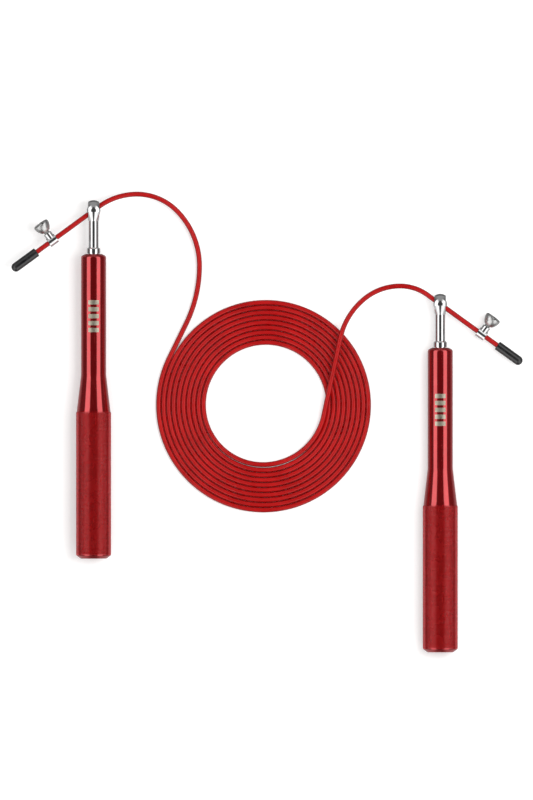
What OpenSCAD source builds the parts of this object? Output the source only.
// Speed jump rope: two bearing handles and one coated steel cable, lying coiled on a flat surface.
// Frame: +Z up from the surface, origin on the surface under the middle of the coil, handles along Y.

/* [Handles] */
// Length of a handle body
handle_length = 154.2; // [148:0.1:160]
// Diameter of the straight neck
neck_d = 12.7; // [12.2:0.1:13.4]
// Length of the neck
neck_length = 60; // [55:0.1:64]
// Slope of the flare between neck and grip, in degrees
flare_angle = 6.8; // [6:0.1:8]
// Diameter of the knurled grip
grip_d = 17.7; // [16.8:0.1:18]
// How far the grip stands proud of the flare
grip_step = 0.3; // [0.1:0.05:0.4]

/* [Swivels] */
// Height of the swivel ball's centre above the handle's mouth
ball_height = 22; // [21.6:0.1:26]
// Diameter of the swivel ball
ball_d = 7; // [6.9:0.1:7]
// Diameter of the spindle's round head
eye_d = 10.4; // [10.2:0.1:11.4]
// Width of the head across its two flats
eye_width = 5.6; // [5.4:0.1:6]
// Diameter of the spindle's shaft
shaft_d = 5; // [4.2:0.1:5.2]
// How far each eye is turned about its spindle, in degrees
eye_turn = 3; // [3:1:3]

/* [Cable] */
// Diameter of the plastic jacket
cable_d = 2.5; // [2.3:0.1:2.5]
// Diameter of the steel core
core_d = 1.5; // [1:0.1:1.6]
// Turns in the flat coil
turns = 9; // [9:1:9]
// Centreline radius of the coil's outermost turn
coil_r = 53.1; // [53.1:0.1:54]

/* [Clamps and caps] */
// Distance from the swivel ball to the cable clamp
clamp_distance = 25.8; // [20:0.1:28]
// Distance from the swivel ball to the end cap
cap_distance = 35.7; // [34:0.1:40]
// Diameter of an end cap
cap_d = 4.7; // [4.4:0.1:5.2]
// Length of an end cap
cap_length = 15.3; // [12:0.1:18]

/* [Hidden] */
$fn = 96;

fit = 0.01;            // radial gap between parts that are pressed together
running_gap = 0.03;    // radial gap between parts that turn on each other
cable_z = cable_d / 2; // height of the coil's centreline
pitch = cable_d + 0.02; // spacing of the coil's turns, so that they lie side by side

// Handle, measured down from the mouth
lip_thickness = 0.7;
lip_bore_d = 6.2;
race_d = 9;
race_width = 4;
spacer_length = 6;
bore_d = 9.4;
grip_bore_d = 12;
flare_blend_r = 20;
flare_blend_steps = 6;
flare_end_d = grip_d - 2 * grip_step;
flare_rise = (flare_end_d - neck_d) / 2;
flare_blend_rise = flare_blend_r * (1 - cos(flare_angle));
flare_length = flare_blend_r * sin(flare_angle) + (flare_rise - flare_blend_rise) / tan(flare_angle);
grip_from = neck_length + flare_length;
grip_bore_from = grip_from + 4;
mouth_chamfer = [2.2, 1.1]; // across and along the handle
end_chamfer = [2.4, 1.7];
plug_length = 8;
plug_recess = 0.4;
seat_end = lip_thickness + 2 * race_width + spacer_length + 0.5;
bearing_tops = [lip_thickness, lip_thickness + race_width + spacer_length];

// Bearing 4 x 9 x 4 mm
journal_d = 4;
inner_race_d = 5.5;
outer_race_bore_d = 7.5;
track_r = 3.25;
bearing_ball_r = 0.65;
bearing_ball_count = 7;
cage_width = 1.7;
cage_thickness = 0.5;
shield_thickness = 0.15;
shield_inset = 0.15;
shield_bore_d = 5.9;

// Spindle, measured up and down from the swivel ball's centre
collar_d = 6.8;
collar_height = 3;
collar_gap = 0.2;
collar_chamfer = 0.6;
shoulder_d = 5.4;
thread_d = 3;
thread_length = 4;
cone_from = 0.75;
cone_top_d = eye_d - 0.2;
cone_to = 5.4;
seat_gap = 0.05;
countersink_r = 1.65;
countersink_slope = 0.85;
washer_thickness = 0.5;
nut_height = 2.4;
nut_flats = 5.5;
ball_bore_d = cable_d + 0.3;

// Clamp
clamp_length = 4.7;
clamp_d = 4.9;
clamp_bore_d = cable_d + 0.1;
boss_d = 4.2;
boss_top = 4.5;
screw_d = 3;
screw_tip = 1.32;
screw_top = 10.9;
// Outline of the screw's head, in radius and height
screw_head = [[screw_d / 2, 5.5], [2.3, 5.6], [3.2, 6.8], [3.9, 8.3], [4.1, 9.4], [4.1, 10.1], [3.6, 10.7], [0, screw_top]];
slot_width = 1.2;
slot_depth = 1.7;

// The cable's run is a list of steps: [length or radius, turn in degrees, roll in degrees].
// A turn of 0 is a straight run, a positive turn goes left, and a roll tips what follows to one side.
coil_run = [for (k = [0 : 2 * turns - 1]) [coil_r - k * pitch / 2, 180, 0]];
inner_run = [[30.2, 90, 0], [31.36, 78, 5.36], [40.2, 0, 0], [35.6, -39, 0], [28.5, -39, 0], [23.3, -36, 0]];
outer_run = [[coil_r + pitch / 2, -26, 0], [19.2, 0, 0], [66.5, 26, 6.46], [39.8, 45, 0], [28.7, 45, 0], [33, 36, 0]];
inner_last = 8.1;  // straight length before the right ball
outer_last = 3.2;  // straight length before the left ball
tail_length = cap_distance + cap_length - 4;
lead_seam = 0.002; // half the gap between the steps of a lead

// A frame is [position, heading, left, up].
function rolled(f, roll) = [
    f[0],
    f[1],
    f[2] * cos(roll) + f[3] * sin(roll),
    f[3] * cos(roll) - f[2] * sin(roll)
];
function ahead(f, length) = [f[0] + f[1] * length, f[1], f[2], f[3]];
function turned(f, r, turn) = [
    f[0] + r * (sign(turn) * (1 - cos(turn)) * f[2] + sin(abs(turn)) * f[1]),
    cos(turn) * f[1] + sin(turn) * f[2],
    cos(turn) * f[2] - sin(turn) * f[1],
    f[3]
];
function stepped(f, step) = step[1] == 0 ? ahead(f, step[0]) : turned(f, step[0], step[1]);
function frames(run, f, i = 0) =
    i == len(run)
        ? [f]
        : let (g = rolled(f, run[i][2])) concat([g], frames(run, stepped(g, run[i]), i + 1));

coil_start = [[-coil_r, 0, cable_z], [0, -1, 0], [1, 0, 0], [0, 0, 1]];
outer_start = [[-coil_r, 0, cable_z], [0, 1, 0], [-1, 0, 0], [0, 0, 1]];
inner_start = frames(coil_run, coil_start)[len(coil_run)];
left_ball = ahead(frames(outer_run, outer_start)[len(outer_run)], outer_last);
right_ball = ahead(frames(inner_run, inner_start)[len(inner_run)], inner_last);

// Puts a child at a frame, with its Y along the heading and its Z up.
module at(f) {
    x = -f[2];
    y = f[1];
    z = f[3];
    p = f[0];
    multmatrix([
        [x[0], y[0], z[0], p[0]],
        [x[1], y[1], z[1], p[1]],
        [x[2], y[2], z[2], p[2]]
    ]) children();
}

// Puts a child at a swivel ball, with its Z pointing out of the handle.
module at_handle(ball) {
    translate(ball[0]) rotate([-90, 0, 0]) children();
}

// Puts a child at a clamp, with its Z along the screw and its Y along the cable.
module at_clamp(ball, side) {
    at(ahead(ball, clamp_distance)) rotate([0, 90 * side, 0]) children();
}

// A solid of revolution whose outline is drawn in radius and height.
module turned_part() {
    rotate_extrude() children();
}

module tube(outer_d, inner_d, height) {
    difference() {
        cylinder(d = outer_d, h = height);
        translate([0, 0, -1]) cylinder(d = inner_d, h = height + 2);
    }
}

module cable_section(outer_d, inner_d) {
    difference() {
        circle(d = outer_d);
        if (inner_d > 0) circle(d = inner_d);
    }
}

// One step of the run, drawn short of its ends by a hair where it meets a step at an odd angle.
module cable_step(step, outer_d, inner_d, seam) {
    r = step[0];
    turn = step[1];
    if (turn == 0) {
        translate([0, seam, 0]) rotate([-90, 0, 0])
            linear_extrude(r - 2 * seam) cable_section(outer_d, inner_d);
    } else {
        side = sign(turn);
        trim = side * seam / r * 180 / PI;
        translate([-side * r, 0, 0])
            rotate_extrude(start = (side > 0 ? 0 : 180) + trim, angle = turn - 2 * trim)
                translate([r, 0]) cable_section(outer_d, inner_d);
    }
}

module cable_run(run, start, outer_d, inner_d, seam = 0) {
    places = frames(run, start);
    for (i = [0 : len(run) - 1]) at(places[i]) cable_step(run[i], outer_d, inner_d, seam);
}

module whole_cable(outer_d, inner_d) {
    inner_straight = [[inner_last + tail_length, 0, 0]];
    outer_straight = [[outer_last + tail_length, 0, 0]];
    cable_run(coil_run, coil_start, outer_d, inner_d);
    cable_run(concat(inner_run, inner_straight), inner_start, outer_d, inner_d, lead_seam);
    cable_run(concat(outer_run, outer_straight), outer_start, outer_d, inner_d, lead_seam);
}

module cable_jacket() {
    color("firebrick") whole_cable(cable_d, core_d + 2 * fit);
}

module cable_core() {
    color("silver") whole_cable(core_d, 0);
}

// Handle body: a bored neck with a bearing seat, a flare and a grip.
function flare_blend_point(turn) = [
    neck_d / 2 + flare_blend_r * (1 - cos(turn)),
    -neck_length - flare_blend_r * sin(turn)
];

module handle_outline() {
    flare_blend = [for (i = [0 : flare_blend_steps]) flare_blend_point(flare_angle * i / flare_blend_steps)];
    polygon(concat(
        [
            [0, 0],
            [neck_d / 2 - mouth_chamfer[0], 0],
            [neck_d / 2, -mouth_chamfer[1]]
        ],
        flare_blend,
        [
            [flare_end_d / 2, -grip_from],
            [grip_d / 2, -grip_from - grip_step],
            [grip_d / 2, -handle_length + end_chamfer[1]],
            [grip_d / 2 - end_chamfer[0], -handle_length],
            [0, -handle_length]
        ]
    ));
}

module handle_bore() {
    polygon([
        [0, 1],
        [lip_bore_d / 2, 1],
        [lip_bore_d / 2, -lip_thickness],
        [race_d / 2 + fit, -lip_thickness],
        [race_d / 2 + fit, -seat_end],
        [bore_d / 2, -seat_end - 0.2],
        [bore_d / 2, -grip_bore_from + 2],
        [grip_bore_d / 2, -grip_bore_from],
        [grip_bore_d / 2, -handle_length - 1],
        [0, -handle_length - 1]
    ]);
}

module handle(ball) {
    color("crimson") at_handle(ball) translate([0, 0, -ball_height]) turned_part()
        difference() {
            handle_outline();
            handle_bore();
        }
}

module end_plug(ball) {
    plug_r = grip_bore_d / 2 - fit;
    chamfer = 0.4;
    bottom = -handle_length + plug_recess;
    color("dimgray") at_handle(ball) translate([0, 0, -ball_height]) turned_part()
        polygon([
            [0, bottom],
            [plug_r - chamfer, bottom],
            [plug_r, bottom + chamfer],
            [plug_r, bottom + plug_length],
            [0, bottom + plug_length]
        ]);
}

// Places a child at the middle of each of a handle's two bearings.
module at_bearings(ball) {
    at_handle(ball)
        for (top = bearing_tops) translate([0, 0, -ball_height - top - race_width / 2]) children();
}

module ball_track() {
    translate([track_r, 0]) circle(r = bearing_ball_r + running_gap, $fn = 48);
}

module outer_race() {
    height = race_width - 2 * fit;
    turned_part() difference() {
        translate([outer_race_bore_d / 2, -height / 2])
            square([(race_d - outer_race_bore_d) / 2, height]);
        ball_track();
    }
}

module inner_race() {
    height = race_width - 2 * fit;
    turned_part() difference() {
        translate([journal_d / 2, -height / 2])
            square([(inner_race_d - journal_d) / 2, height]);
        ball_track();
    }
}

module ball_ring() {
    for (i = [0 : bearing_ball_count - 1])
        rotate([0, 0, i * 360 / bearing_ball_count])
            translate([track_r, 0, 0]) sphere(r = bearing_ball_r, $fn = 32);
}

module cage() {
    difference() {
        translate([0, 0, -cage_width / 2])
            tube(2 * track_r + cage_thickness, 2 * track_r - cage_thickness, cage_width);
        for (i = [0 : bearing_ball_count - 1])
            rotate([0, 90, i * 360 / bearing_ball_count])
                translate([0, 0, track_r - 1]) cylinder(r = bearing_ball_r + running_gap, h = 2);
    }
}

module shields() {
    top = race_width / 2 - shield_inset;
    for (bottom = [top - shield_thickness, -top])
        translate([0, 0, bottom])
            tube(outer_race_bore_d - 2 * fit, shield_bore_d, shield_thickness);
}

module bearing_spacer(ball) {
    top = -ball_height - lip_thickness - race_width;
    color("silver") at_handle(ball) translate([0, 0, top - spacer_length + fit])
        tube(shoulder_d, journal_d + 2 * fit, spacer_length - 2 * fit);
}

// Spindle: a round head with two flats and a through eye, a cone, a shaft with a collar, a bearing
// journal and a threaded end.
module spindle_head() {
    intersection() {
        sphere(d = eye_d);
        translate([-eye_d, -eye_d, -cone_from]) cube(2 * eye_d);
    }
}

module spindle_shaft() {
    collar_bottom = -ball_height + collar_gap;
    collar_top = collar_bottom + collar_height;
    journal_top = -ball_height - lip_thickness;
    journal_end = journal_top - 2 * race_width - spacer_length + 0.1;
    thread_end = journal_end - thread_length;
    thread_chamfer = 0.3;
    turned_part() polygon([
        [0, 0],
        [cone_top_d / 2, -cone_from],
        [shaft_d / 2, -cone_to],
        [shaft_d / 2, collar_top],
        [collar_d / 2 - collar_chamfer, collar_top],
        [collar_d / 2, collar_top - collar_chamfer],
        [collar_d / 2, collar_bottom],
        [shoulder_d / 2, collar_bottom],
        [shoulder_d / 2, journal_top + fit],
        [journal_d / 2 - fit, journal_top + fit],
        [journal_d / 2 - fit, journal_end],
        [thread_d / 2, journal_end],
        [thread_d / 2, thread_end + thread_chamfer],
        [thread_d / 2 - thread_chamfer, thread_end],
        [0, thread_end]
    ]);
}

module head_flats() {
    for (side = [-1, 1])
        translate([side * (eye_width + eye_d) / 2, 0, eye_d / 2 - cone_to])
            cube([eye_d, 2 * eye_d, eye_d], center = true);
}

module eye_opening() {
    sphere(d = ball_d + 2 * seat_gap);
    for (side = [-1, 1])
        rotate([0, 90 * side, 0])
            cylinder(r1 = countersink_r, r2 = countersink_r + countersink_slope * eye_width, h = eye_width);
}

module spindle(ball, side) {
    color("lightgray") at_handle(ball) difference() {
        union() {
            spindle_head();
            spindle_shaft();
        }
        rotate([0, 0, eye_turn * side]) {
            head_flats();
            eye_opening();
        }
    }
}

module spindle_washer(ball) {
    top = -ball_height - lip_thickness - 2 * race_width - spacer_length;
    color("silver") at_handle(ball) translate([0, 0, top - washer_thickness])
        tube(shoulder_d, thread_d + 0.1, washer_thickness - fit);
}

module spindle_nut(ball) {
    top = -ball_height - lip_thickness - 2 * race_width - spacer_length - washer_thickness;
    color("gray") at_handle(ball) translate([0, 0, top - nut_height - fit]) difference() {
        cylinder(d = nut_flats / cos(30), h = nut_height, $fn = 6);
        translate([0, 0, -1]) cylinder(d = thread_d + 2 * fit, h = nut_height + 2);
    }
}

module swivel_ball(ball) {
    color("gainsboro") at(ball) difference() {
        sphere(d = ball_d);
        rotate([90, 0, 0]) cylinder(d = ball_bore_d, h = 2 * ball_d, center = true);
    }
}

// Clamp: a collar on the cable with a tapped boss, and a slotted thumb screw.
module clamp_collar(ball, side) {
    color("lightgray") at_clamp(ball, side) difference() {
        union() {
            rotate([90, 0, 0]) cylinder(d = clamp_d, h = clamp_length, center = true);
            cylinder(d = boss_d, h = boss_top);
        }
        rotate([90, 0, 0]) cylinder(d = clamp_bore_d, h = 2 * clamp_length, center = true);
        cylinder(d = screw_d + 0.1, h = boss_top + 1);
    }
}

module clamp_screw(ball, side) {
    tip_chamfer = 0.3;
    slot_length = 20;
    color("silver") at_clamp(ball, side) difference() {
        turned_part() polygon(concat(
            [
                [0, screw_tip],
                [screw_d / 2 - tip_chamfer, screw_tip],
                [screw_d / 2, screw_tip + tip_chamfer]
            ],
            screw_head
        ));
        translate([-slot_length / 2, -slot_width / 2, screw_top - slot_depth])
            cube([slot_length, slot_width, slot_depth + 1]);
    }
}

module end_cap(ball) {
    cap_r = cap_d / 2;
    bore_r = cable_d / 2 + fit;
    bore_length = cap_length - 3.5;
    lip = 0.2;
    color("black") at(ahead(ball, cap_distance)) rotate([-90, 0, 0]) turned_part() difference() {
        union() {
            polygon([
                [0, 0],
                [cap_r - lip, 0],
                [cap_r, lip],
                [cap_r, cap_length - cap_r],
                [0, cap_length - cap_r]
            ]);
            intersection() {
                translate([0, cap_length - cap_r]) circle(r = cap_r);
                translate([0, cap_length - cap_r]) square([cap_d, cap_d]);
            }
        }
        translate([-1, -1]) square([1 + bore_r, 1 + bore_length]);
    }
}

// The two sides of the rope.
LEFT = 1;
RIGHT = -1;

cable_jacket();
cable_core();
handle(left_ball);  // left_handle
handle(right_ball);  // right_handle
end_plug(left_ball);  // left_end_plug
end_plug(right_ball);  // right_end_plug
color("silver") at_bearings(left_ball) outer_race();  // left_bearing_outer_races
color("silver") at_bearings(right_ball) outer_race();  // right_bearing_outer_races
color("silver") at_bearings(left_ball) inner_race();  // left_bearing_inner_races
color("silver") at_bearings(right_ball) inner_race();  // right_bearing_inner_races
color("white") at_bearings(left_ball) ball_ring();  // left_bearing_balls
color("white") at_bearings(right_ball) ball_ring();  // right_bearing_balls
color("goldenrod") at_bearings(left_ball) cage();  // left_bearing_cages
color("goldenrod") at_bearings(right_ball) cage();  // right_bearing_cages
color("gray") at_bearings(left_ball) shields();  // left_bearing_shields
color("gray") at_bearings(right_ball) shields();  // right_bearing_shields
bearing_spacer(left_ball);  // left_bearing_spacer
bearing_spacer(right_ball);  // right_bearing_spacer
spindle(left_ball, LEFT);  // left_spindle
spindle(right_ball, RIGHT);  // right_spindle
spindle_washer(left_ball);  // left_spindle_washer
spindle_washer(right_ball);  // right_spindle_washer
spindle_nut(left_ball);  // left_spindle_nut
spindle_nut(right_ball);  // right_spindle_nut
swivel_ball(left_ball);  // left_swivel_ball
swivel_ball(right_ball);  // right_swivel_ball
clamp_collar(left_ball, LEFT);  // left_clamp_collar
clamp_collar(right_ball, RIGHT);  // right_clamp_collar
clamp_screw(left_ball, LEFT);  // left_clamp_screw
clamp_screw(right_ball, RIGHT);  // right_clamp_screw
end_cap(left_ball);  // left_end_cap
end_cap(right_ball);  // right_end_cap
